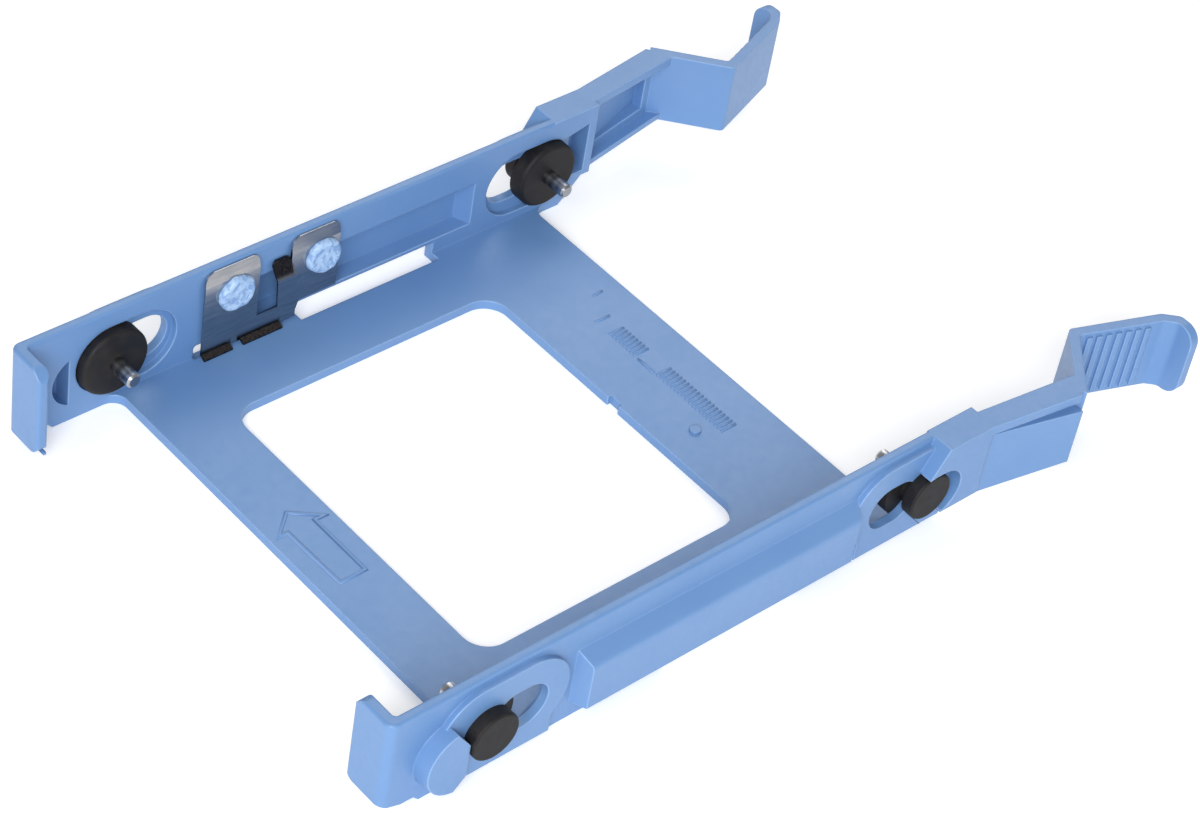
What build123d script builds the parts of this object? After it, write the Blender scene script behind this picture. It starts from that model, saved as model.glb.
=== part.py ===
from build123d import *
import math
import os

# Tray that holds one 3.5 inch drive between two sprung rails.
# X runs across the tray, +Y runs from the rear lips to the finger tabs, +Z is up.
# The origin is under the middle of the tray, on the plane that it rests on.

# Drive that the tray holds
drive_width = 101.6
drive_side_gap = 0.4
pin_spacing = 101.6

# Heights above the underside
pin_height = 10.9
rail_height = 22.1
floor_thickness = 2.0

# Rails
wall = 2.0
edge_round = 0.6
rear_reach = 20.2
wall_reach = 13.0
nose_run = 7.3
nose_slope = 5.2
nose_height = 5.5

# Rear lips
lip_width = 9.1
lip_thickness = 2.4
lip_rise = 2.8
lip_top_corner = 2.8
lip_bottom_corner = 2.0
lip_round = 0.7
heel_round = 1.8
heel_length = 7.0
heel_rise = 1.3
heel_slope_run = 4.5

# Floor plate and its window
floor_rear_gap = 2.0
floor_front_gap = 1.2
floor_corner = 3.0
window_width = 71.2
window_rear_strip = 13.7
window_front_strip = 23.4
window_corner = 5.0
gate_notch_width = 3.0
gate_notch_depth = 0.8
gate_nub_radius = 1.1
gate_nub_height = 0.5
gate_nub_offset = 14.2
gate_nub_from_window = 7.7

# Hollow bar along the outside of each rail
bar_proud = 3.0
bar_rear_gap = 19.8
bar_front_gap = 16.2
bar_end_slant = 1.5
bar_crease_height = 5.6
bar_face_height = 3.0
bar_bottom_height = -7.0
bar_round = 1.6
bar_shell = 1.5
pocket_roof = 1.2
pocket_face_drop = 2.4

# Slot along the foot of each rail, where the mould core passes
core_slot_inset = 2.2
core_slot_rear_gap = 41.8
core_slot_front_gap = 26.7
core_slot_height = 2.2

# Raised boss round each grommet slot
boss_radius = 8.9
boss_reach = 1.3
boss_length = 10.2
boss_rise = 0.8
boss_proud = 1.2
boss_bottom = 1.1
boss_foot_inset = 3.0

# Keyhole slot that each grommet snaps into
plate_thickness = 1.8
slot_radius = 4.7
slot_length = 8.5
slot_full_width_from = 6.2
seat_clearance = 0.1
throat_half_width = 2.9
counterbore_clearance = 0.3
counterbore_length = 7.0

# Hollow pads outside the ends of each rail
pad_radius = 7.1
pad_taper = 0.6
pad_offset = 6.6
pad_drop = 1.8
pad_corner_run = 3.0
pad_corner_drop = 4.2
pad_foot_run = 2.4
pad_foot_rise = 2.6
pad_proud = 3.3
pad_edge_offset = 5.2
button_clearance = 0.6
button_bore_reach = 1.7
hollow_radius = 5.7
hollow_edge_offset = 8.8
hollow_depth = 3.8
front_recess_slope = 1.6
front_recess_width = 7.2
front_recess_depth = 1.8
front_recess_height = 11.6
front_recess_bottom = -4.2
front_pocket_width = 3.3
front_pocket_depth = 4.4
front_post = 1.9
block_proud = 4.1
block_start = 2.0
block_slope_run = 3.7
block_slope_foot = 5.0
block_bottom_height = -5.2

# Sprung arms beyond the front of the rails
arm_length = 21.5
arm_flare = 3.0
arm_flange_width = 4.6
arm_flange_thickness = 1.9
arm_flange_inset = 0.8
arm_web = 1.3
arm_ledge_width = 3.6
arm_ledge_thickness = 1.2
arm_bottom_height = -6.2
latch_rear_gap = 0.8
latch_proud = 2.2
latch_top_gap = 1.2
latch_front_gap = 1.4
latch_corner = 1.6
arm_rise = 1.8
latch_wall = 1.1
latch_roof = 1.2
latch_sill = 1.7

# Ramps and finger tabs
tab_thickness = 2.0
ramp_inset = 11.8
ramp_run = 10.7
ramp_corner = 3.0
fold_round = 1.2
tab_run = 17.2
tab_flare = 6.1
tab_bottom_height = -4.7
curl_run = 1.9
curl_flare = 1.8
curl_width = 4.3
curl_round = 1.6
curl_corner = 3.4
rib_count = 7
rib_pitch = 2.1
rib_width = 1.1
rib_proud = 0.5
rib_end_gap = 0.9
rib_start = 2.3

# Rubber grommets
disc_radius = 7.1
disc_proud = 1.9
disc_round = 0.9
neck_radius = 3.4
button_radius = 4.9
button_thickness = 2.6
button_round = 0.5

# Steel pins
pin_radius = 1.5
pin_reach = 5.6
pin_waist_radius = 1.2
pin_chamfer = 0.4
pin_head_radius = 2.4
pin_head_thickness = 1.0
pin_head_cover = 0.6

# Grounding clip, folded from spring sheet
clip_sheet = 0.4
clip_stand_off = 0.7
clip_rear_overhang = 7.0
clip_rear_width = 12.2
clip_front_overhang = 7.4
clip_front_width = 11.2
clip_top_gap = 0.7
clip_bend_height = 2.6
clip_front_bottom_height = -4.6
clip_bottom_gap = 0.6
clip_strap_height = 4.3
clip_foot_depth = 1.5
clip_foot_bend = 1.6
clip_rear_foot_width = 6.4
clip_front_foot_width = 9.0
clip_foot_gap = 2.4
clip_window_rear_gap = 1.1
clip_window_length = 17.0
clip_window_height = 2.7
clip_window_sink = 1.2
clip_window_corner = 0.8
clip_corner = 2.6
clip_front_corner = 1.2
finger_width = 4.3
finger_start = 17.0
finger_crest = 1.1
finger_crest_height = 3.3
finger_tip_gap = 0.15
finger_tip_height = 7.0
finger_tip_round = 1.2
finger_lean = 1.9

# Moulded studs, their ends melted over the clip
stud_radius = 1.8
stud_height = 4.3
stud_rear = 26.6
stud_spacing = 19.8
stake_radius = 3.4
stake_thickness = 1.0
stake_round = 0.6

# Places worked out from the sizes above
inner_face = drive_width / 2 + drive_side_gap
outer_face = inner_face + wall
front_reach = wall_reach + arm_length + ramp_run + tab_run + curl_run + tab_thickness
total_length = rear_reach + pin_spacing + front_reach
rear_pin = -total_length / 2 + rear_reach
front_pin = rear_pin + pin_spacing
rear_end = rear_pin - rear_reach
wall_end = front_pin + wall_reach
floor_rear = rear_pin + floor_rear_gap
floor_front = front_pin - floor_front_gap
boss_face = outer_face + boss_proud
plate_inner = boss_face - plate_thickness
overlap = 0.5


def yz_prism(points, x0, x1):
    """Outline in Y and Z, carried along X from x0 to x1."""
    face = make_face(Polyline(*points, close=True))
    return extrude(Plane.YZ.offset(x0) * face, amount=x1 - x0)


def xz_prism(points, y0, y1):
    """Outline in X and Z, carried along Y from y0 to y1."""
    face = make_face(Polyline(*points, close=True))
    return extrude(Plane.XZ.offset(-y1) * face, amount=y1 - y0)


def xy_prism(points, z0, z1):
    """Plan outline in X and Y, carried up from z0 to z1."""
    face = make_face(Polyline(*points, close=True))
    return extrude(Plane.XY.offset(z0) * face, amount=z1 - z0)


def block(x0, x1, y0, y1, z0, z1):
    """Rectangular block between two corners."""
    return Pos((x0 + x1) / 2, (y0 + y1) / 2, (z0 + z1) / 2) * Box(x1 - x0, y1 - y0, z1 - z0)


def x_disc(radius, x0, x1, y, z):
    """Round disc with its axis along X."""
    return Pos(x0, y, z) * (Rot(0, 90, 0) * Cylinder(radius, x1 - x0, align=(Align.CENTER, Align.CENTER, Align.MIN)))


def level(height):
    """Height above the underside, from a height given from the pin axis."""
    return pin_height + height


def corner_cut(x, z, toward_z, radius, y0, y1):
    """What is cut away to round an inner corner edge that runs along Y."""
    square = block(x - overlap, x + radius, y0, y1, min(z, z + toward_z * radius), max(z, z + toward_z * radius))
    square += block(x - overlap, x + radius, y0, y1, z - overlap, z + overlap)
    centre_z = z + toward_z * radius
    rod = Pos(x + radius, y0 - overlap, centre_z) * (
        Rot(-90, 0, 0)
        * Cylinder(radius, y1 - y0 + 2 * overlap, align=(Align.CENTER, Align.CENTER, Align.MIN))
    )
    keep = block(x + radius, x + 2 * radius, y0, y1, z - radius, z + radius)
    return square - rod - keep


def rail_wall():
    """Wall of a rail with its rear lip, the rounded heel between them and the sloped nose."""
    lip_inner = outer_face - lip_width
    lip_front = rear_end + lip_thickness
    plan = [
        (outer_face, rear_end),
        (outer_face, wall_end),
        (inner_face, wall_end),
        (inner_face, lip_front),
        (lip_inner, lip_front),
        (lip_inner, rear_end),
    ]
    solid = xy_prism(plan, 0, rail_height)
    uprights = solid.edges().filter_by(Axis.Z)
    heel = uprights.sort_by(lambda e: abs(e.center().X - outer_face) + abs(e.center().Y - rear_end))[0]
    solid = fillet(heel, heel_round)
    uprights = solid.edges().filter_by(Axis.Z)
    inside = uprights.sort_by(lambda e: abs(e.center().X - inner_face) + abs(e.center().Y - lip_front))[0]
    solid = fillet(inside, lip_round)
    uprights = solid.edges().filter_by(Axis.Z)
    tips = [e for e in uprights if abs(e.center().X - lip_inner) < overlap]
    solid = fillet(tips, lip_round)
    solid = fillet(solid.faces().sort_by(Axis.Z)[-1].edges(), edge_round)
    y0 = rear_end - overlap
    y1 = lip_front + overlap
    solid -= corner_cut(lip_inner, rail_height, -1, lip_top_corner, y0, y1)
    solid -= corner_cut(lip_inner, lip_rise, 1, lip_bottom_corner, y0, y1)
    heel_cut = [
        (y0, -overlap),
        (y0, lip_rise),
        (rear_end, lip_rise),
        (rear_end + heel_slope_run, heel_rise),
        (rear_end + heel_length, heel_rise),
        (rear_end + heel_length + heel_rise, 0),
        (rear_end + heel_length + heel_rise, -overlap),
    ]
    solid -= yz_prism(heel_cut, 0, 2 * outer_face)
    nose_start = wall_end - nose_run
    nose_cut = [
        (nose_start, -overlap),
        (nose_start, 0),
        (nose_start + nose_slope, nose_height),
        (wall_end + overlap, nose_height),
        (wall_end + overlap, -overlap),
    ]
    return solid - yz_prism(nose_cut, 0, 2 * outer_face)


def bar_plan(inner, outer, slant_from, grow):
    """Plan of the hollow bar, whose two ends slant inwards away from the wall."""
    y0 = rear_pin + bar_rear_gap + grow
    y1 = front_pin - bar_front_gap - grow
    slant = bar_end_slant
    return [
        (inner, y0),
        (slant_from, y0),
        (outer, y0 + slant),
        (outer, y1 - slant),
        (slant_from, y1),
        (inner, y1),
    ]


def outer_bar():
    """Bar that stands proud of the outside of the rail."""
    face = outer_face + bar_proud
    points = [
        (inner_face, level(bar_bottom_height)),
        (face, level(bar_bottom_height)),
        (face, level(bar_face_height)),
        (outer_face, level(bar_crease_height)),
        (inner_face, level(bar_crease_height)),
    ]
    section = xz_prism(points, rear_pin, front_pin)
    round_edge = section.edges().filter_by(Axis.Y).sort_by(Axis.X)[-2:].sort_by(Axis.Z)[-1]
    section = fillet(round_edge, bar_round)
    plan = xy_prism(bar_plan(inner_face, face, outer_face, 0), 0, rail_height)
    return section & plan


def bar_pocket():
    """Hollow behind the bar, open to the inside of the tray."""
    deep = outer_face + bar_proud - bar_shell
    bottom = level(bar_bottom_height) + bar_shell
    points = [
        (inner_face - overlap, bottom),
        (deep, bottom),
        (deep, level(bar_face_height) - pocket_face_drop),
        (outer_face, level(bar_crease_height) - pocket_roof),
        (inner_face - overlap, level(bar_crease_height) - pocket_roof),
    ]
    section = xz_prism(points, rear_pin, front_pin)
    plan = xy_prism(bar_plan(inner_face - overlap, deep, inner_face, bar_shell), 0, rail_height)
    return section & plan


def mirrored_y(y_offset, toward_front):
    """Place along Y, measured from a pin towards the middle of the tray."""
    return front_pin - y_offset if toward_front else rear_pin + y_offset


def slot_boss(at_front):
    """Oblong raised boss that stiffens the wall round a grommet slot."""
    ends = sorted((mirrored_y(-boss_reach, at_front), mirrored_y(boss_length - boss_reach, at_front)))
    z = level(boss_rise)
    boss = x_disc(boss_radius, inner_face, boss_face, ends[0], z)
    boss += x_disc(boss_radius, inner_face, boss_face, ends[1], z)
    boss += block(inner_face, boss_face, ends[0], ends[1], z - boss_radius, z + boss_radius)
    low, high = ends[0] - boss_radius, ends[1] + boss_radius
    foot = block(inner_face, boss_face, low + boss_foot_inset, high - boss_foot_inset, boss_bottom, z)
    return boss + foot & block(0, 2 * outer_face, low, high, boss_bottom, rail_height)


def keyhole(at_front):
    """Slot through the wall: a seat for the grommet neck, a throat and a wide end."""
    seat = neck_radius + seat_clearance
    pin_y = mirrored_y(0, at_front)
    near_y = mirrored_y(slot_full_width_from, at_front)
    far_y = mirrored_y(slot_length, at_front)
    outside = outer_face + 2 * block_proud
    cut = x_disc(seat, inner_face - overlap, outside, pin_y, pin_height)
    cut += x_disc(slot_radius, inner_face - overlap, outside, near_y, pin_height)
    cut += x_disc(slot_radius, inner_face - overlap, outside, far_y, pin_height)
    low, high = sorted((near_y, far_y))
    cut += block(
        inner_face - overlap, outside, low, high, pin_height - slot_radius, pin_height + slot_radius
    )
    low, high = sorted((pin_y, near_y))
    cut += block(
        inner_face - overlap,
        outside,
        low,
        high,
        pin_height - throat_half_width,
        pin_height + throat_half_width,
    )
    return cut


def counterbore(at_front):
    """Round-ended pocket in the inner face, for the disc of the grommet."""
    radius = disc_radius + counterbore_clearance
    pin_y = mirrored_y(0, at_front)
    far_y = mirrored_y(counterbore_length, at_front)
    low, high = sorted((pin_y, far_y))
    cut = x_disc(radius, inner_face - overlap, plate_inner, pin_y, pin_height)
    cut += x_disc(radius, inner_face - overlap, plate_inner, far_y, pin_height)
    cut += block(
        inner_face - overlap, plate_inner, low, high, pin_height - radius, pin_height + radius
    )
    return cut


def button_bore():
    """Room for the front grommet button in the block that stands proud round it."""
    radius = button_radius + button_clearance
    reach = front_pin + button_bore_reach
    outside = outer_face + 2 * block_proud
    cut = x_disc(radius, boss_face, outside, front_pin, pin_height)
    cut += x_disc(radius, boss_face, outside, reach, pin_height)
    return cut + block(boss_face, outside, front_pin, reach, pin_height - radius, pin_height + radius)


def rear_pad():
    """D shaped pad with a drafted side and one cut corner, outside the rear end of the rail."""
    y = rear_pin - pad_offset
    z = level(-pad_drop)
    edge = rear_pin - pad_edge_offset
    height = pad_proud + wall - overlap
    cone = Rot(0, 90, 0) * Cone(
        pad_radius + pad_taper, pad_radius, height, align=(Align.CENTER, Align.CENTER, Align.MIN)
    )
    cone = Pos(inner_face + overlap, y, z) * cone
    top = z + pad_radius
    foot = z - pad_radius
    keep = [
        (y - 2 * pad_radius, 0),
        (edge - pad_foot_run, 0),
        (edge - pad_foot_run, foot),
        (edge, foot + pad_foot_rise),
        (edge, top - pad_corner_drop),
        (edge - pad_corner_run, top),
        (edge - pad_corner_run, rail_height),
        (y - 2 * pad_radius, rail_height),
    ]
    return cone & yz_prism(keep, 0, 2 * outer_face)


def rear_hollow():
    """D shaped hollow of the rear pad, open to the inside of the tray."""
    y = rear_pin - pad_offset
    z = level(-pad_drop)
    disc = x_disc(hollow_radius, inner_face - overlap, inner_face + hollow_depth, y, z)
    edge = rear_pin - hollow_edge_offset
    return disc & block(0, 2 * outer_face, y - 2 * hollow_radius, edge, 0, rail_height)


def front_recess(width, depth):
    """Blind window in the inner face ahead of the front grommet, with a sloped top."""
    front = wall_end - front_post
    z0 = pin_height + front_recess_bottom
    z1 = z0 + front_recess_height
    points = [(front - width, z0), (front, z0), (front, z1), (front - width, z1 - front_recess_slope)]
    return yz_prism(points, inner_face - overlap, inner_face + depth)


def front_block():
    """Solid block outside the front end of the rail, with a sloped rear end."""
    start = front_pin - block_start
    points = [
        (start, level(block_bottom_height)),
        (start, level(block_slope_foot)),
        (start + block_slope_run, rail_height),
        (wall_end, rail_height),
        (wall_end, level(block_bottom_height)),
    ]
    return yz_prism(points, inner_face, outer_face + block_proud)


def arm_line(y):
    """Outer edge of the arm at a place along Y."""
    return outer_face + block_proud + arm_flare * (y - wall_end) / arm_length


def ramp_line(x):
    """Middle of the ramp plate, as a place along Y for a place across X."""
    corner = arm_line(wall_end + arm_length)
    back = tab_thickness / 2 / math.cos(math.atan2(ramp_run, ramp_inset))
    return wall_end + arm_length + (corner - x) * ramp_run / ramp_inset - back


def arm_strip(inset, width, z0, z1):
    """Part of the arm between two lines along it, from the wall to the ramp."""
    start_x = arm_line(wall_end) - inset
    end_x = arm_line(wall_end + arm_length) - inset
    points = [
        (start_x - width, wall_end - overlap),
        (start_x, wall_end - overlap),
        (end_x, ramp_line(end_x)),
        (end_x - width, ramp_line(end_x - width)),
    ]
    return xy_prism(points, z0, z1)


def arm_slope(rise):
    """Line of the arm's foot, which climbs from the wall to the ramp, set up by a rise."""
    foot = level(arm_bottom_height) + rise
    return [
        (wall_end - 2 * overlap, foot),
        (wall_end, foot),
        (wall_end + arm_length, foot + arm_rise),
        (wall_end + 2 * arm_length, foot + arm_rise),
    ]


def latch_plan(wall_left, inner, end):
    """Plan of the latch wedge, or of its hollow where a wall is left outside it."""
    start = wall_end + latch_rear_gap
    full = wall_end + arm_length - latch_front_gap
    slope = latch_proud / (full - start)

    def outer(y):
        return arm_line(y) - arm_flange_inset + slope * (y - start) - wall_left

    first = start + max(wall_left - inner, 0) / slope
    return [
        (arm_line(first) - arm_flange_inset - inner - overlap, first),
        (outer(first), first),
        (outer(end), end),
        (arm_line(end) - arm_flange_inset - inner - overlap, end),
    ]


def arm():
    """Sprung arm: a channel of flange, web and ledge, its web swollen into a hollow latch wedge."""
    low = level(arm_bottom_height)
    flange_bottom = rail_height - arm_flange_thickness
    flange = arm_strip(0, arm_flange_width, flange_bottom, rail_height)
    web = arm_strip(arm_flange_inset, arm_web, low, rail_height)
    band = yz_prism(arm_slope(0) + arm_slope(arm_ledge_thickness)[::-1], 0, 2 * outer_face)
    ledge = arm_strip(arm_flange_inset, arm_ledge_width, low, rail_height) & band
    end = wall_end + arm_length - latch_front_gap
    top = flange_bottom - latch_top_gap
    latch = xy_prism(latch_plan(0, 0, end), low, top)
    corner = latch.faces().sort_by(Axis.Y)[-1].edges().filter_by(Axis.X).sort_by(Axis.Z)[0]
    latch = fillet(corner, latch_corner)
    hollow = xy_prism(latch_plan(latch_wall, arm_web, end - latch_wall), low, top - latch_roof)
    sill = arm_slope(arm_ledge_thickness + latch_sill)
    below = yz_prism(sill + arm_slope(-arm_rise)[::-1], 0, 2 * outer_face)
    foot = yz_prism(arm_slope(0) + arm_slope(-2 * arm_rise)[::-1], 0, 2 * outer_face)
    return flange + web + ledge + latch - (hollow - below) - foot


def strip(points, thickness):
    """Plan outline of a folded plate: one side of it, and the same line set off to the left."""
    back = []
    for i, (x, y) in enumerate(points):
        before = points[max(i - 1, 0)]
        after = points[min(i + 1, len(points) - 1)]
        first = math.atan2(y - before[1], x - before[0]) if i else None
        second = math.atan2(after[1] - y, after[0] - x) if i < len(points) - 1 else None
        first = second if first is None else first
        second = first if second is None else second
        middle = (first + second) / 2
        reach = thickness / math.cos((second - first) / 2)
        back.append((x - reach * math.sin(middle), y + reach * math.cos(middle)))
    return points + back[::-1]


def ramp_and_tab():
    """Ramp that comes inwards from the arm, finger tab, and its turned-out end."""
    arm_end = wall_end + arm_length
    corner = arm_line(arm_end)
    fold_x = corner - ramp_inset
    fold_y = arm_end + ramp_run
    tab_x = fold_x + tab_flare
    tab_y = fold_y + tab_run
    curl_x = tab_x + curl_flare
    curl_y = tab_y + curl_run
    points = [
        (corner, arm_end),
        (fold_x, fold_y),
        (tab_x, tab_y),
        (curl_x, curl_y),
        (curl_x + curl_width, curl_y),
    ]
    solid = xy_prism(strip(points, tab_thickness), level(tab_bottom_height), rail_height)
    upright = solid.edges().filter_by(Axis.Z)
    folds = [e for e in upright if abs(e.center().Y - fold_y) < tab_thickness]
    solid = fillet(folds, fold_round)
    upright = solid.edges().filter_by(Axis.Z)
    curls = [e for e in upright if e.center().Y > tab_y - overlap and e.center().X < curl_x + overlap]
    solid = fillet(curls, curl_round)
    end_edges = solid.faces().sort_by(Axis.X)[-1].edges().filter_by(Axis.Y)
    solid = fillet(end_edges, curl_corner)
    angle = math.atan2(tab_flare, tab_run)
    bottom = level(tab_bottom_height) + rib_end_gap
    height = rail_height - rib_end_gap - bottom
    for i in range(rib_count):
        along = rib_start + i * rib_pitch
        x = fold_x + along * math.sin(angle)
        y = fold_y + along * math.cos(angle)
        rib = Box(rib_proud * 2, rib_width, height, align=(Align.CENTER, Align.CENTER, Align.MIN))
        solid += Pos(x, y, bottom) * (Rot(0, 0, -math.degrees(angle)) * rib)
    return solid


def core_slot():
    """Slot at the foot of the rail, through the wall and the edge of the floor."""
    return block(
        inner_face - core_slot_inset,
        outer_face + overlap,
        rear_pin + core_slot_rear_gap,
        front_pin - core_slot_front_gap,
        -overlap,
        level(bar_bottom_height) + core_slot_height - bar_shell,
    )


def rail():
    """One rail, for the +X side of the tray."""
    solid = rail_wall() + outer_bar() + slot_boss(False) + slot_boss(True)
    solid += rear_pad() + front_block()
    for at_front in (False, True):
        solid -= counterbore(at_front)
        solid -= keyhole(at_front)
    solid -= button_bore()
    solid -= bar_pocket()
    solid -= rear_hollow()
    solid -= front_recess(front_recess_width, front_recess_depth)
    solid -= front_recess(front_pocket_width, front_pocket_depth)
    return solid + arm() + ramp_and_tab()


def floor_plate():
    """Floor between the rails, with a large window."""
    half = inner_face + wall / 2
    plate = block(-half, half, floor_rear, floor_front, 0, floor_thickness)
    window_rear = floor_rear + window_rear_strip
    window_front = floor_front - window_front_strip
    window = block(
        -window_width / 2, window_width / 2, window_rear, window_front, -overlap, floor_thickness + overlap
    )
    window = fillet(window.edges().filter_by(Axis.Z), window_corner)
    notch = block(
        -gate_notch_width / 2,
        gate_notch_width / 2,
        window_front - overlap,
        window_front + gate_notch_depth,
        -overlap,
        floor_thickness + overlap,
    )
    plate = plate - window - notch
    nub_y = window_front + gate_nub_from_window
    nub = Pos(gate_nub_offset, nub_y, floor_thickness - overlap) * Cylinder(
        gate_nub_radius, gate_nub_height + overlap, align=(Align.CENTER, Align.CENTER, Align.MIN)
    )
    return plate + nub


def corner_web(y, direction):
    """Rounded web in the corner between a rail and an end of the floor."""
    size = floor_corner
    x = inner_face
    square = block(x - size, x + overlap, min(y, y + direction * size), max(y, y + direction * size), 0, floor_thickness)
    hole = Pos(x - size, y + direction * size, -overlap) * Cylinder(
        size, floor_thickness + 2 * overlap, align=(Align.CENTER, Align.CENTER, Align.MIN)
    )
    return square - hole


def clip_plane():
    """X of the outside of the clip sheet, on the left rail."""
    return -(inner_face - clip_stand_off)


def clip_rear_edge():
    """Y of the rear edge of the clip, set off from the rear stud."""
    return rear_pin + stud_rear - clip_rear_overhang


def studs():
    """Two moulded studs whose ends are melted into flat heads over the clip."""
    head_outer = clip_plane() + clip_sheet
    solid = None
    for i in range(2):
        y = rear_pin + stud_rear + i * stud_spacing
        z = level(stud_height)
        shank = x_disc(stud_radius, -inner_face - overlap, head_outer, y, z)
        head = x_disc(stake_radius, head_outer, head_outer + stake_thickness, y, z)
        head_rim = head.edges().filter_by(GeomType.CIRCLE).sort_by(Axis.X)[-1]
        head = fillet(head_rim, stake_round)
        solid = shank + head if solid is None else solid + shank + head
    return solid


def clip_window():
    """Opening at the foot of the left rail, behind the lower band of the clip."""
    rear = clip_rear_edge() - clip_window_rear_gap
    opening = block(
        -outer_face - overlap,
        -inner_face + overlap,
        rear,
        rear + clip_window_length,
        floor_thickness - clip_window_sink,
        floor_thickness + clip_window_height,
    )
    upper = opening.edges().filter_by(Axis.X).group_by(Axis.Z)[-1]
    return fillet(upper, clip_window_corner)


def tray_frame():
    """The whole moulding: floor, two rails, lips, arms, tabs and studs."""
    right = rail()
    left = mirror(right, about=Plane.YZ)
    web_rear = corner_web(floor_rear, -1)
    web_front = corner_web(floor_front, 1)
    webs = web_rear + web_front
    frame = floor_plate() + right + left + webs + mirror(webs, about=Plane.YZ)
    slot = core_slot()
    frame = frame - slot - mirror(slot, about=Plane.YZ)
    frame = frame - clip_window()
    return frame + studs()


def grommet_profile():
    """Half section of a grommet, as radius against distance along X."""
    disc_inner = inner_face - disc_proud
    button_outer = boss_face + button_thickness
    head_outer = button_outer - button_thickness - pin_head_cover
    head_inner = head_outer - pin_head_thickness
    return [
        (disc_inner, pin_waist_radius),
        (disc_inner, disc_radius),
        (plate_inner, disc_radius),
        (plate_inner, neck_radius),
        (boss_face, neck_radius),
        (boss_face, button_radius),
        (button_outer, button_radius),
        (button_outer, 0),
        (head_outer, 0),
        (head_outer, pin_head_radius),
        (head_inner, pin_head_radius),
        (head_inner, pin_waist_radius),
    ]


def grommet():
    """Rubber grommet about the X axis: disc, neck and button, with a blind bore."""
    face = make_face(Polyline(*grommet_profile(), close=True))
    solid = revolve(face, axis=Axis.X)
    rims = solid.edges().filter_by(GeomType.CIRCLE)
    disc_rim = rims.filter_by(lambda e: abs(e.radius - disc_radius) < 1e-6).sort_by(Axis.X)[0]
    button_rim = rims.filter_by(lambda e: abs(e.radius - button_radius) < 1e-6).sort_by(Axis.X)[-1]
    solid = fillet(disc_rim, disc_round)
    rims = solid.edges().filter_by(GeomType.CIRCLE)
    button_rim = rims.filter_by(lambda e: abs(e.radius - button_radius) < 1e-6).sort_by(Axis.X)[-1]
    return fillet(button_rim, button_round)


def pin():
    """Steel pin about the X axis: chamfered free end, waist and head held in the grommet."""
    root = inner_face - disc_proud
    head_outer = boss_face - pin_head_cover
    head_inner = head_outer - pin_head_thickness
    free_end = x_disc(pin_radius, root - pin_reach, root, 0, 0)
    tip_rim = free_end.edges().filter_by(GeomType.CIRCLE).sort_by(Axis.X)[0]
    free_end = chamfer(tip_rim, pin_chamfer)
    waist = x_disc(pin_waist_radius, root, head_inner, 0, 0)
    return free_end + waist + x_disc(pin_head_radius, head_inner, head_outer, 0, 0)


def sheet_yz(points, x):
    """Flat piece of the clip sheet, outlined in Y and Z."""
    return yz_prism(points, x, x + clip_sheet)


def clip_corner_cut(y, z, radius, inwards):
    """What is cut away to round a top corner of a clip plate, the plate lying inwards of y."""
    x0 = -outer_face
    x1 = clip_plane() + clip_stand_off
    low, high = sorted((y - inwards * overlap, y + inwards * radius))
    square = block(x0, x1, low, high, z - radius, z + overlap)
    return square - x_disc(radius, x0 - overlap, x1 + overlap, y + inwards * radius, z - radius)


def clip_finger(y0, y1, root_z):
    """Bent finger that leans towards the rear, with a rounded tip."""
    x = clip_plane()
    crest_z = level(finger_crest_height)
    tip_z = level(finger_tip_height)
    tip = finger_tip_gap - inner_face
    profile = [
        (x, root_z),
        (x + clip_sheet, root_z),
        (x + clip_sheet + finger_crest, crest_z),
        (tip + clip_sheet, tip_z),
        (tip, tip_z),
        (x + finger_crest, crest_z - clip_sheet / 2),
    ]
    bent = xz_prism(profile, y0 - finger_lean, y1)
    outline = [(y0, root_z), (y1, root_z), (y1 - finger_lean, tip_z), (y0 - finger_lean, tip_z)]
    width = yz_prism(outline, -inner_face, x + 2 * finger_crest)
    tips = width.edges().filter_by(Axis.X).sort_by(Axis.Z)[-2:]
    return bent & fillet(tips, finger_tip_round)


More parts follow.
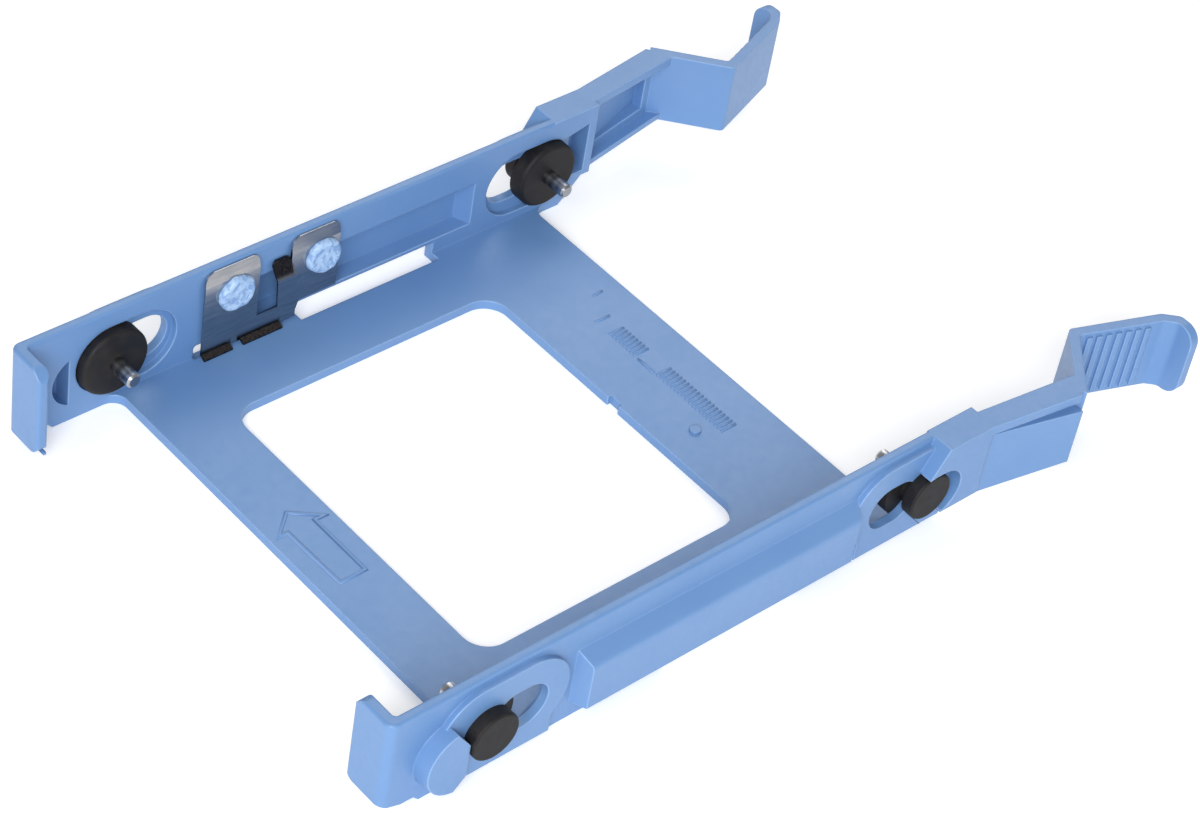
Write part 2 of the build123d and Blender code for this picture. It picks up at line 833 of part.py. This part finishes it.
def grounding_clip():
    """Clip folded from spring sheet: two plates, a strap, two feet and a finger."""
    x = clip_plane()
    y0 = clip_rear_edge()
    y1 = y0 + clip_rear_width
    y2 = rear_pin + stud_rear + stud_spacing - clip_front_overhang
    y3 = y2 + clip_front_width
    top = rail_height - clip_top_gap - clip_bend_height
    low = floor_thickness + clip_bottom_gap
    strap_top = low + clip_strap_height
    front_low = level(clip_front_bottom_height)
    finger_y0 = y0 + finger_start
    finger_y1 = finger_y0 + finger_width
    rear_plate = sheet_yz([(y0, low), (y1, low), (y1, top), (y0, top)], x)
    front_plate = sheet_yz([(y2, front_low), (y3, front_low), (y3, top), (y2, top)], x)
    strap = sheet_yz([(y0, low), (finger_y1, low), (finger_y1, strap_top), (y0, strap_top)], x)
    link = sheet_yz(
        [
            (finger_y1 - overlap, low),
            (y2 + clip_corner, front_low),
            (y2 + clip_corner, strap_top + clip_corner),
            (finger_y1 - overlap, strap_top),
        ],
        x,
    )
    solid = rear_plate + front_plate + strap + link
    back = -inner_face
    shoulder_points = [
        (x, top - overlap),
        (x + clip_sheet, top - overlap),
        (x + clip_sheet, top),
        (back + clip_sheet, top + clip_bend_height),
        (back, top + clip_bend_height),
        (x, top),
    ]
    solid += xz_prism(shoulder_points, y0, y1)
    solid += xz_prism(shoulder_points, y2, y3)
    for rear_y, front_y in ((y0, y1), (y2, y3)):
        solid -= clip_corner_cut(rear_y, top + clip_bend_height, clip_corner, 1)
        solid -= clip_corner_cut(front_y, top + clip_bend_height, clip_front_corner, -1)
    foot_bend = floor_thickness + clip_sheet
    foot_points = [
        (x, low + clip_foot_bend),
        (x, low),
        (x + clip_foot_depth - clip_sheet, floor_thickness),
        (x + clip_foot_depth, floor_thickness),
        (x + clip_foot_depth, foot_bend),
        (x + clip_sheet, low + clip_sheet),
        (x + clip_sheet, low + clip_foot_bend),
    ]
    solid += xz_prism(foot_points, y0, y0 + clip_rear_foot_width)
    front_foot = y0 + clip_rear_foot_width + clip_foot_gap
    solid += xz_prism(foot_points, front_foot, front_foot + clip_front_foot_width)
    solid += clip_finger(finger_y0, finger_y1, strap_top - overlap)
    for i in range(2):
        y = rear_pin + stud_rear + i * stud_spacing
        solid -= x_disc(stud_radius, x - overlap, x + clip_sheet + overlap, y, level(stud_height))
    return solid


def place(solid, side, y):
    """Put a piece modelled about the X axis at a pin, on one side of the tray."""
    placed = Pos(0, y, pin_height) * solid
    return placed if side == "right" else mirror(placed, about=Plane.YZ)


os.makedirs("parts", exist_ok=True)
export_step(tray_frame(), "parts/tray_frame.step")
export_step(grounding_clip(), "parts/grounding_clip.step")
for side in ("left", "right"):
    for end, y in (("rear", rear_pin), ("front", front_pin)):
        export_step(place(grommet(), side, y), f"parts/grommet_{side}_{end}.step")
        export_step(place(pin(), side, y), f"parts/pin_{side}_{end}.step")
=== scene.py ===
import math
import bpy
import numpy as np
from mathutils import Matrix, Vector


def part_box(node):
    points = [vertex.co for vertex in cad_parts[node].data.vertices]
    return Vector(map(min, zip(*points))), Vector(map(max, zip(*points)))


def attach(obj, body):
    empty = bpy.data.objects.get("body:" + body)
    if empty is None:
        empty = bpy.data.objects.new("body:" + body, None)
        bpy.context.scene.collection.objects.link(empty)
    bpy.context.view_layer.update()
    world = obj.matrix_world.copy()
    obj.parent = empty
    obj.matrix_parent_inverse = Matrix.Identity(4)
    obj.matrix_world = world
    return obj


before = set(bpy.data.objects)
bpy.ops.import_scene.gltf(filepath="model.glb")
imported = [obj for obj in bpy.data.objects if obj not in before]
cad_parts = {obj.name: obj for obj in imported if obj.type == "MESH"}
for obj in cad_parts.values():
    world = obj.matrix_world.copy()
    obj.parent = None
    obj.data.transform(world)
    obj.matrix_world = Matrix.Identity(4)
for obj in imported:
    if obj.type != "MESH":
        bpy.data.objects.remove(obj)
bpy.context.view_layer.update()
millimetre = 0.001

# The tray frame. One injection moulding in pale blue ABS: floor with a window, two rails,
# rear lips, sprung arms and ribbed finger tabs. The tool was spark eroded to a fine satin,
# and the sheen varies a little where the plastic flowed in from the gate.

tray_blue = "#658BBC"
tray_blue_deep = "#5E86B9"
spark_grain = 0.35 * millimetre
flow_mark = 24 * millimetre
scuff_size = 1.4 * millimetre
edge_round = 0.45 * millimetre
# Painted highlight: the paler blue mixed into the outer edges.
edge_highlight_pale = "#97B9E6"
edge_open = 1.0 * millimetre


def linear(hex_colour):
    """sRGB hex to linear light: c / 12.92 for a dark channel c, else ((c + 0.055) / 1.055) to the 2.4."""
    channels = [int(hex_colour[i:i + 2], 16) / 255 for i in (1, 3, 5)]
    return [c / 12.92 if c <= 0.04045 else ((c + 0.055) / 1.055) ** 2.4 for c in channels] + [1.0]


def add(tree, kind, settings=(), inputs=(), stops=()):
    """Adds a node, sets its own settings and fills its input sockets with a value or a link. The
    stops, if any, are the (position, hex) colours of its ramp."""
    made = tree.nodes.new(kind)
    for name, value in dict(settings).items():
        setattr(made, name, value)
    for socket, value in dict(inputs).items():
        if isinstance(value, bpy.types.NodeSocket):
            tree.links.new(value, made.inputs[socket])
        else:
            made.inputs[socket].default_value = value
    for index, (position, colour) in enumerate(stops):
        elements = made.color_ramp.elements
        element = elements[index] if index < len(elements) else elements.new(position)
        element.position, element.color = position, linear(colour)
    return made


def new_finish(name, settings):
    """A material with one Principled shader, whose even values go straight on its sockets."""
    material = bpy.data.materials.new(name)
    material.use_nodes = True
    tree = material.node_tree
    tree.nodes.clear()
    shader = add(tree, "ShaderNodeBsdfPrincipled", (), settings)
    add(tree, "ShaderNodeOutputMaterial", (), {"Surface": shader.outputs[0]})
    place = add(tree, "ShaderNodeTexCoord").outputs["Object"]
    return material, tree, shader, place


def moulded_abs():
    """Moulded ABS: even colour through the wall, satin from the spark grain, faint flow marks.
    Corners are rounded off. The outer ones are painted a little paler, a painted highlight standing for the
    sheen on their rounding and the light through the thin plastic there; the inner ones, where the room
    around a point is less, are not."""
    material, tree, shader, place = new_finish("moulded_blue_abs", {"IOR": 1.54})
    flow = add(tree, "ShaderNodeTexNoise", (), {
        "Vector": place, "Scale": 1 / flow_mark, "Detail": 3.0, "Roughness": 0.45,
    })
    colour = add(tree, "ShaderNodeValToRGB", (), {"Fac": flow.outputs["Fac"]}, [
        (0.35, tray_blue_deep), (0.65, tray_blue),
    ])
    rounded = add(tree, "ShaderNodeBevel", {"samples": 6}, {"Radius": edge_round})
    flat = add(tree, "ShaderNodeNewGeometry")
    turned = add(tree, "ShaderNodeVectorMath", {"operation": "DOT_PRODUCT"}, {
        0: rounded.outputs["Normal"], 1: flat.outputs["Normal"],
    })
    edge = add(tree, "ShaderNodeMapRange", (), {
        "Value": turned.outputs["Value"], "From Min": 0.99, "From Max": 0.85, "To Min": 0.0, "To Max": 0.85,
    })
    open_air = add(tree, "ShaderNodeAmbientOcclusion", {"samples": 6, "only_local": True}, {
        "Distance": edge_open,
    })
    outer = add(tree, "ShaderNodeMapRange", (), {
        "Value": open_air.outputs["AO"], "From Min": 0.75, "From Max": 0.95,
    })
    edge_highlight_mask = add(tree, "ShaderNodeMath", {"operation": "MULTIPLY"}, {
        0: edge.outputs["Result"], 1: outer.outputs["Result"],
    })
    # Painted highlight: the outer edges are mixed toward a paler blue.
    colour_with_edge_highlight = add(tree, "ShaderNodeMix", {"data_type": "RGBA"}, {
        0: edge_highlight_mask.outputs[0], 6: colour.outputs["Color"], 7: linear(edge_highlight_pale),
    })
    tree.links.new(colour_with_edge_highlight.outputs[2], shader.inputs["Base Color"])
    scuff = add(tree, "ShaderNodeTexNoise", (), {
        "Vector": place, "Scale": 1 / scuff_size, "Detail": 4.0, "Roughness": 0.6,
    })
    sheen = add(tree, "ShaderNodeMapRange", (), {
        "Value": scuff.outputs["Fac"], "From Min": 0.3, "From Max": 0.75, "To Min": 0.36, "To Max": 0.48,
    })
    tree.links.new(sheen.outputs["Result"], shader.inputs["Roughness"])
    grain = add(tree, "ShaderNodeTexNoise", (), {
        "Vector": place, "Scale": 1 / spark_grain, "Detail": 2.0, "Roughness": 0.5,
    })
    bump = add(tree, "ShaderNodeBump", (), {
        "Height": grain.outputs["Fac"], "Strength": 0.12, "Distance": 0.03 * millimetre,
        "Normal": rounded.outputs["Normal"],
    })
    tree.links.new(bump.outputs["Normal"], shader.inputs["Normal"])
    return material


abs_finish = moulded_abs()


def dress(node, material):
    """Gives a CAD node its finish: the material goes in each of its slots, the mesh stays as it is."""
    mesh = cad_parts[node].data
    if not mesh.materials:
        mesh.materials.append(material)
    for index in range(len(mesh.materials)):
        mesh.materials[index] = material


dress("tray_frame", abs_finish)

# The grounding clip. Blanked and folded from bright stainless spring sheet, 0.4 mm thick.
# It is smooth from the rolls, with the finest lines along it. Its two feet and the tip of its finger look
# dark in the photo, and are painted dark grey-brown there, with a fine grit in it.

clip_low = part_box("grounding_clip")[0]
rolled_bright = "#AFAFB1"
rolled_shade = "#9C9DA1"
dark_patch_black = "#33343A"
dark_patch_brown = "#6A5F57"
rolled_line = 0.5 * millimetre
rolled_patch = 5 * millimetre
dark_patch_grit = 0.3 * millimetre
foot_top = clip_low.z + 2.6 * millimetre
foot_fade = 1.7 * millimetre
tip_foot = 14.1 * millimetre
tip_fade = 1.1 * millimetre
dark_places = [
    (3.1 * millimetre, 3.5 * millimetre, foot_top, foot_top - foot_fade),
    (12.9 * millimetre, 4.9 * millimetre, foot_top, foot_top - foot_fade),
    (17.3 * millimetre, 2.15 * millimetre, tip_foot, tip_foot + tip_fade),
]


def rolled_spring_steel():
    """Bright rolled stainless, a soft mirror. Each dark place is a middle along Y from the clip's rear
    edge, half a width, and the heights where the darkening starts and is full."""
    material, tree, shader, place = new_finish("rolled_spring_steel", {"Metallic": 1.0})
    drawn = add(tree, "ShaderNodeMapping", (), {"Vector": place, "Scale": (1.0, 0.08, 1.0)})
    lines = add(tree, "ShaderNodeTexNoise", (), {
        "Vector": drawn.outputs[0], "Scale": 1 / rolled_line, "Detail": 2.0,
    })
    steel = add(tree, "ShaderNodeValToRGB", (), {"Fac": lines.outputs["Fac"]}, [
        (0.3, rolled_shade), (0.7, rolled_bright),
    ])
    grit = add(tree, "ShaderNodeTexNoise", (), {"Vector": place, "Scale": 1 / dark_patch_grit, "Detail": 2.0})
    # The feet and the finger's tip are painted dark grey-brown, with a fine grit.
    dark_patch_colour = add(tree, "ShaderNodeValToRGB", (), {"Fac": grit.outputs["Fac"]}, [
        (0.4, dark_patch_black), (0.75, dark_patch_brown),
    ])
    axes = add(tree, "ShaderNodeSeparateXYZ", (), {"Vector": place})
    dark = None
    for middle, half, start, full in dark_places:
        along = add(tree, "ShaderNodeMath", {"operation": "COMPARE"}, {
            0: axes.outputs["Y"], 1: clip_low.y + middle, 2: half,
        })
        up = add(tree, "ShaderNodeMapRange", {"interpolation_type": "SMOOTHSTEP"}, {
            "Value": axes.outputs["Z"], "From Min": start, "From Max": full,
        })
        patch = add(tree, "ShaderNodeMath", {"operation": "MULTIPLY"}, {
            0: along.outputs[0], 1: up.outputs["Result"],
        })
        if dark is not None:
            patch = add(tree, "ShaderNodeMath", {"operation": "MAXIMUM"}, {
                0: dark.outputs[0], 1: patch.outputs[0],
            })
        dark = patch
    colour = add(tree, "ShaderNodeMix", {"data_type": "RGBA"}, {
        0: dark.outputs[0], 6: steel.outputs["Color"], 7: dark_patch_colour.outputs["Color"],
    })
    tree.links.new(colour.outputs[2], shader.inputs["Base Color"])
    dull = add(tree, "ShaderNodeTexNoise", (), {"Vector": place, "Scale": 1 / rolled_patch, "Detail": 2.0})
    rough = add(tree, "ShaderNodeMapRange", (), {
        "Value": dull.outputs["Fac"], "From Min": 0.3, "From Max": 0.7, "To Min": 0.16, "To Max": 0.26,
    })
    tree.links.new(rough.outputs["Result"], shader.inputs["Roughness"])
    bump = add(tree, "ShaderNodeBump", (), {
        "Height": lines.outputs["Fac"], "Strength": 0.05, "Distance": 0.02 * millimetre,
    })
    tree.links.new(bump.outputs["Normal"], shader.inputs["Normal"])
    return material


dress("grounding_clip", rolled_spring_steel())

# The melted stake heads. The ends of the two moulded studs are melted over the clip with a
# hot tip, which leaves a flat uneven button of whitened plastic with a squeezed-out rim.

stake_white = "#A6C3E6"
stake_blue = "#789CCB"
melt_lump = 1.3 * millimetre


def melted_abs():
    """Melted ABS: whitened by heat and strain in uneven lumps, with an even gloss."""
    material, tree, shader, place = new_finish("melted_blue_abs", {"IOR": 1.54, "Roughness": 0.4})
    lumps = add(tree, "ShaderNodeTexNoise", (), {
        "Vector": place, "Scale": 1 / melt_lump, "Detail": 5.0, "Roughness": 0.65, "Distortion": 0.6,
    })
    colour = add(tree, "ShaderNodeValToRGB", (), {"Fac": lumps.outputs["Fac"]}, [
        (0.4, stake_blue), (0.56, stake_white),
    ])
    tree.links.new(colour.outputs["Color"], shader.inputs["Base Color"])
    bump = add(tree, "ShaderNodeBump", (), {
        "Height": lumps.outputs["Fac"], "Strength": 0.4, "Distance": 0.2 * millimetre,
    })
    tree.links.new(bump.outputs["Normal"], shader.inputs["Normal"])
    return material


def put_mesh(name, grids, closed_u, body, material):
    """Turns grids of points, each rows by columns by 3 in metres, into one piece that rides on a body.
    Each cell of a grid becomes one four-sided face; columns wrap round where closed_u is true."""
    quads, first = [], 0
    for rows in grids:
        count_v, count_u = rows.shape[:2]
        index = first + np.arange(count_v * count_u).reshape(count_v, count_u)
        right = np.roll(index, -1, axis=1) if closed_u else index[:, 1:]
        left = index if closed_u else index[:, :-1]
        quads.append(np.stack([left[:-1], right[:-1], right[1:], left[1:]], axis=-1).reshape(-1, 4))
        first += count_v * count_u
    points = np.concatenate([rows.reshape(-1, 3) for rows in grids])
    mesh = bpy.data.meshes.new(name)
    mesh.from_pydata(points.tolist(), [], np.concatenate(quads).tolist())
    mesh.validate()
    mesh.update()
    mesh.polygons.foreach_set("use_smooth", np.ones(len(mesh.polygons), bool))
    mesh.materials.append(material)
    piece = bpy.data.objects.new(name, mesh)
    bpy.context.scene.collection.objects.link(piece)
    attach(piece, body)
    return piece


rear_pin_low, rear_pin_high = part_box("pin_left_rear")
rear_pin_y = (rear_pin_low.y + rear_pin_high.y) / 2
pin_height = (rear_pin_low.z + rear_pin_high.z) / 2
stake_face_x = -50.1 * millimetre
stake_height = pin_height + 4.3 * millimetre
stake_places = {"rear": rear_pin_y + 26.5 * millimetre, "front": rear_pin_y + 46.3 * millimetre}
stake_half_width = 3.78 * millimetre
stake_half_height = 3.72 * millimetre
stake_profile = [
    (1.0, -0.15), (1.02, 0.15), (1.0, 0.62), (0.955, 0.98), (0.87, 1.2), (0.76, 1.24),
    (0.62, 1.16), (0.45, 1.12), (0.25, 1.16), (0.1, 1.15), (0.0, 1.15),
]
profile_rows = 31
rim_points = 72
tail_angle = 5.3
tail_width = 0.17
melt = melted_abs()


def melted_cap(centre_y, phase):
    """Flat uneven button in the plane of the clip: a profile of (reach, height) from rim to
    middle, whose reach grows with small waves round it and one short tail where the hot tip
    drew off, and whose height ripples with the melt."""
    reach = np.array([p[0] for p in stake_profile])
    height = np.array([p[1] for p in stake_profile])
    fine = np.linspace(0, len(stake_profile) - 1, profile_rows)
    reach = np.interp(fine, np.arange(len(stake_profile)), reach)[:, None]
    height = np.interp(fine, np.arange(len(stake_profile)), height)[:, None]
    angle = np.linspace(0, 2 * np.pi, rim_points, endpoint=False)[None, :]
    tail = 0.08 * np.exp(-(((angle - tail_angle) / tail_width) ** 2))
    wave = 1.0 + 0.022 * np.sin(2 * angle + phase) + 0.02 * np.sin(5 * angle - phase)
    wave = wave + 0.012 * np.sin(11 * angle + 2 * phase) + tail
    ripple = 0.07 * np.sin(3 * angle + 9 * reach + phase) * reach * np.clip(height, 0, 1)
    growth = 1 + (wave - 1) * reach
    points = np.empty((len(fine), angle.size, 3))
    points[..., 0] = stake_face_x + (height + ripple) * millimetre
    points[..., 1] = centre_y + reach * growth * stake_half_width * np.cos(angle)
    points[..., 2] = stake_height + reach * growth * stake_half_height * np.sin(angle)
    return points


stake_phases = {"rear": 0.8, "front": 2.9}
for end, centre_y in stake_places.items():
    cap = melted_cap(centre_y, stake_phases[end])
    put_mesh(f"melted_stake_{end}", [cap], True, "root", melt)

# The rubber grommets. Moulded in one piece each, with a disc inside the rail, a neck in the
# keyhole slot and a button outside. Black nitrile rubber, matt, with a little dust on it.

rubber_black = "#17171A"
rubber_dusty = "#282524"
rubber_pore = 0.5 * millimetre
dust_patch = 3 * millimetre


def nitrile_rubber():
    """Moulded nitrile rubber: near black, matt, slightly browner and paler where dust lies."""
    material, tree, shader, place = new_finish("nitrile_rubber", {"IOR": 1.52, "Specular IOR Level": 0.25})
    dust = add(tree, "ShaderNodeTexNoise", (), {
        "Vector": place, "Scale": 1 / dust_patch, "Detail": 5.0, "Roughness": 0.65,
    })
    colour = add(tree, "ShaderNodeValToRGB", (), {"Fac": dust.outputs["Fac"]}, [
        (0.42, rubber_black), (0.7, rubber_dusty),
    ])
    tree.links.new(colour.outputs["Color"], shader.inputs["Base Color"])
    rough = add(tree, "ShaderNodeMapRange", (), {
        "Value": dust.outputs["Fac"], "From Min": 0.3, "From Max": 0.7, "To Min": 0.5, "To Max": 0.72,
    })
    tree.links.new(rough.outputs["Result"], shader.inputs["Roughness"])
    pores = add(tree, "ShaderNodeTexNoise", (), {"Vector": place, "Scale": 1 / rubber_pore, "Detail": 3.0})
    bump = add(tree, "ShaderNodeBump", (), {
        "Height": pores.outputs["Fac"], "Strength": 0.25, "Distance": 0.05 * millimetre,
    })
    tree.links.new(bump.outputs["Normal"], shader.inputs["Normal"])
    return material


rubber = nitrile_rubber()
for side in ("left", "right"):
    for end in ("rear", "front"):
        dress(f"grommet_{side}_{end}", rubber)

# The steel pins. Turned from bright steel wire and zinc plated, held by their heads in the
# rubber. Turning leaves faint rings round the shank.

zinc_bright = "#B4B5B8"
zinc_grey = "#8C8E94"
turned_ring = 0.3 * millimetre


def plated_steel():
    """Zinc plated steel: mid grey, satin, with turned rings one after another along the X axis."""
    material, tree, shader, place = new_finish("zinc_plated_steel", {"Metallic": 1.0, "Roughness": 0.3})
    rings = add(tree, "ShaderNodeTexWave", {"bands_direction": "X"}, {
        "Vector": place, "Scale": 1 / (20 * turned_ring), "Distortion": 1.5, "Detail": 2.0,
    })
    colour = add(tree, "ShaderNodeValToRGB", (), {"Fac": rings.outputs["Fac"]}, [
        (0.0, zinc_grey), (1.0, zinc_bright),
    ])
    tree.links.new(colour.outputs["Color"], shader.inputs["Base Color"])
    bump = add(tree, "ShaderNodeBump", (), {
        "Height": rings.outputs["Fac"], "Strength": 0.2, "Distance": 0.02 * millimetre,
    })
    tree.links.new(bump.outputs["Normal"], shader.inputs["Normal"])
    return material


plated = plated_steel()
for side in ("left", "right"):
    for end in ("rear", "front"):
        dress(f"pin_{side}_{end}", plated)

# The moulded marks on the floor. The tool has shallow cuts that leave an outlined arrow on
# the rear strip, pointing to the clip rail, and groups of plain tally strokes on the front
# one, two of them joined by a line. They stand a quarter of a millimetre proud.

floor_top = 2 * millimetre
mark_rise = 0.25 * millimetre
mark_profile = [(-0.5, -0.4), (-0.5, 0.3), (-0.3, 0.9), (0.0, 1.0), (0.3, 0.9), (0.5, 0.3), (0.5, -0.4)]
arrow_outline = [
    (-9.7, 8.6), (-5.6, 3.9), (-5.6, 5.9), (9.0, 6.1), (8.9, 11.7), (-5.6, 11.7), (-5.5, 13.8),
]
arrow_width = 0.75
tally_pitch = 1.0
tally_foot = 88.8
tally_top = 92.4
tally_width = 0.55
tally_groups = [(-18.7, 1), (-14.6, 8), (-1.0, 19)]
tally_lines = [[(-6.4, tally_foot), (-1.9, tally_foot)], [(-24.7, 93.6), (-24.9, 95.9)]]


def moulded_line(path, closed, width):
    """A low rounded ridge on the floor: the profile (across, up) carried along a path in plan,
    mitred at its corners. Path points and width are mm, X across and Y forward of the rear
    pins. An open path sinks below the floor at both ends, which shuts them."""
    path = np.array(path, float) * millimetre + [0, rear_pin_y]
    ahead = np.roll(path, -1, axis=0) - path
    if not closed:
        ahead[-1] = ahead[-2]
    ahead /= np.linalg.norm(ahead, axis=1, keepdims=True)
    behind = np.roll(ahead, 1, axis=0)
    if not closed:
        behind[0] = ahead[0]
    middle = ahead + behind
    middle /= np.linalg.norm(middle, axis=1, keepdims=True)
    side = np.stack([-middle[:, 1], middle[:, 0]], axis=1)
    stretch = 1 / np.maximum(np.sum(middle * ahead, axis=1), 0.4)
    across = np.array([p[0] for p in mark_profile]) * width * millimetre
    up = np.array([p[1] for p in mark_profile]) * mark_rise
    rows = np.empty((len(path), len(mark_profile), 3))
    offset = across[None, :, None] * stretch[:, None, None]
    rows[..., :2] = path[:, None, :] + side[:, None, :] * offset
    rows[..., 2] = floor_top + up[None, :]
    if closed:
        return np.concatenate([rows, rows[:1]])
    ends = rows[[0, -1]].copy()
    ends[:, :, :2] += np.stack([-ahead[0], ahead[-1]])[:, None, :] * 0.25 * width * millimetre
    ends[..., 2] = floor_top - 0.4 * mark_rise
    return np.concatenate([ends[:1], rows, ends[1:]])


arrow = moulded_line(arrow_outline, True, arrow_width)
put_mesh("arrow_mark", [arrow], False, "root", abs_finish)
tally_places = [first + i * tally_pitch for first, count in tally_groups for i in range(count)]
tally_paths = [[(x, tally_foot), (x, tally_top)] for x in tally_places] + tally_lines
tally = [moulded_line(path, False, tally_width) for path in tally_paths]
put_mesh("tally_marks", tally, False, "root", abs_finish)

# The studio. A white board lit softly from below, a soft white surround and two large soft
# lights, one low beside the camera and one behind. The camera stands where the photographer
# stood.

camera_azimuth = math.radians(41.72)
camera_elevation = math.radians(41.95)
camera_roll = math.radians(10.69)
camera_distance = 589.04 * millimetre
camera_target = np.array([6.93 * millimetre, rear_pin_y + 65.96 * millimetre, pin_height])
camera_lens = 98.04
camera_film = 36
table_half = 3.0
table_glow = 0.25
surround_strength = 0.42
# Each light: name, place in metres, side of its square in metres, power in watts.
lights = [
    ("key_light", (0.8, -0.9, 0.78), 0.8, 20),
    ("back_light", (-0.7, 0.8, 1.0), 1.0, 7),
]


def soft_light(name, place, size, power):
    """A white square area light at a place in metres, turned to face the origin."""
    light = bpy.data.lights.new(name, "AREA")
    light.shape = "SQUARE"
    light.size = size
    light.energy = power
    lamp = bpy.data.objects.new(name, light)
    bpy.context.scene.collection.objects.link(lamp)
    toward = -np.array(place, float)
    toward /= np.linalg.norm(toward)
    side = np.cross(toward, [0, 0, 1.0])
    side /= np.linalg.norm(side)
    up = np.cross(side, toward)
    turn = np.eye(4)
    turn[:3, 0], turn[:3, 1], turn[:3, 2], turn[:3, 3] = side, up, -toward, place
    lamp.matrix_world = Matrix(turn)


corners = [(x * table_half, y * table_half, 0) for x, y in ((-1, -1), (1, -1), (1, 1), (-1, 1))]
table_mesh = bpy.data.meshes.new("table_top")
table_mesh.from_pydata(corners, [], [(0, 1, 2, 3)])
board_look = {
    "Base Color": linear("#F6F6F6"), "Roughness": 0.8,
    "Emission Color": linear("#FFFFFF"), "Emission Strength": table_glow,
}
table_mesh.materials.append(new_finish("white_board", board_look)[0])
table = bpy.data.objects.new("table_top", table_mesh)
bpy.context.scene.collection.objects.link(table)

surround = bpy.data.worlds.new("soft_surround")
surround.use_nodes = True
background = surround.node_tree.nodes["Background"]
background.inputs["Color"].default_value = linear("#FFFFFF")
background.inputs["Strength"].default_value = surround_strength
bpy.context.scene.world = surround
bpy.context.scene.view_settings.view_transform = "Standard"

for light_settings in lights:
    soft_light(*light_settings)

look = np.array([
    -math.sin(camera_azimuth) * math.cos(camera_elevation),
    math.cos(camera_azimuth) * math.cos(camera_elevation),
    -math.sin(camera_elevation),
])
level_right = np.array([math.cos(camera_azimuth), math.sin(camera_azimuth), 0])
level_up = np.cross(level_right, look)
frame_right = math.cos(camera_roll) * level_right + math.sin(camera_roll) * level_up
frame_up = -math.sin(camera_roll) * level_right + math.cos(camera_roll) * level_up
stand = np.eye(4)
stand[:3, 0], stand[:3, 1], stand[:3, 2] = frame_right, frame_up, -look
stand[:3, 3] = camera_target - look * camera_distance
camera_data = bpy.data.cameras.new("photo_camera")
camera_data.lens = camera_lens
camera_data.sensor_width = camera_film
camera_data.sensor_fit = "HORIZONTAL"
camera_data.clip_start = 0.01
camera = bpy.data.objects.new("photo_camera", camera_data)
bpy.context.scene.collection.objects.link(camera)
camera.matrix_world = Matrix(stand)
bpy.context.scene.camera = camera
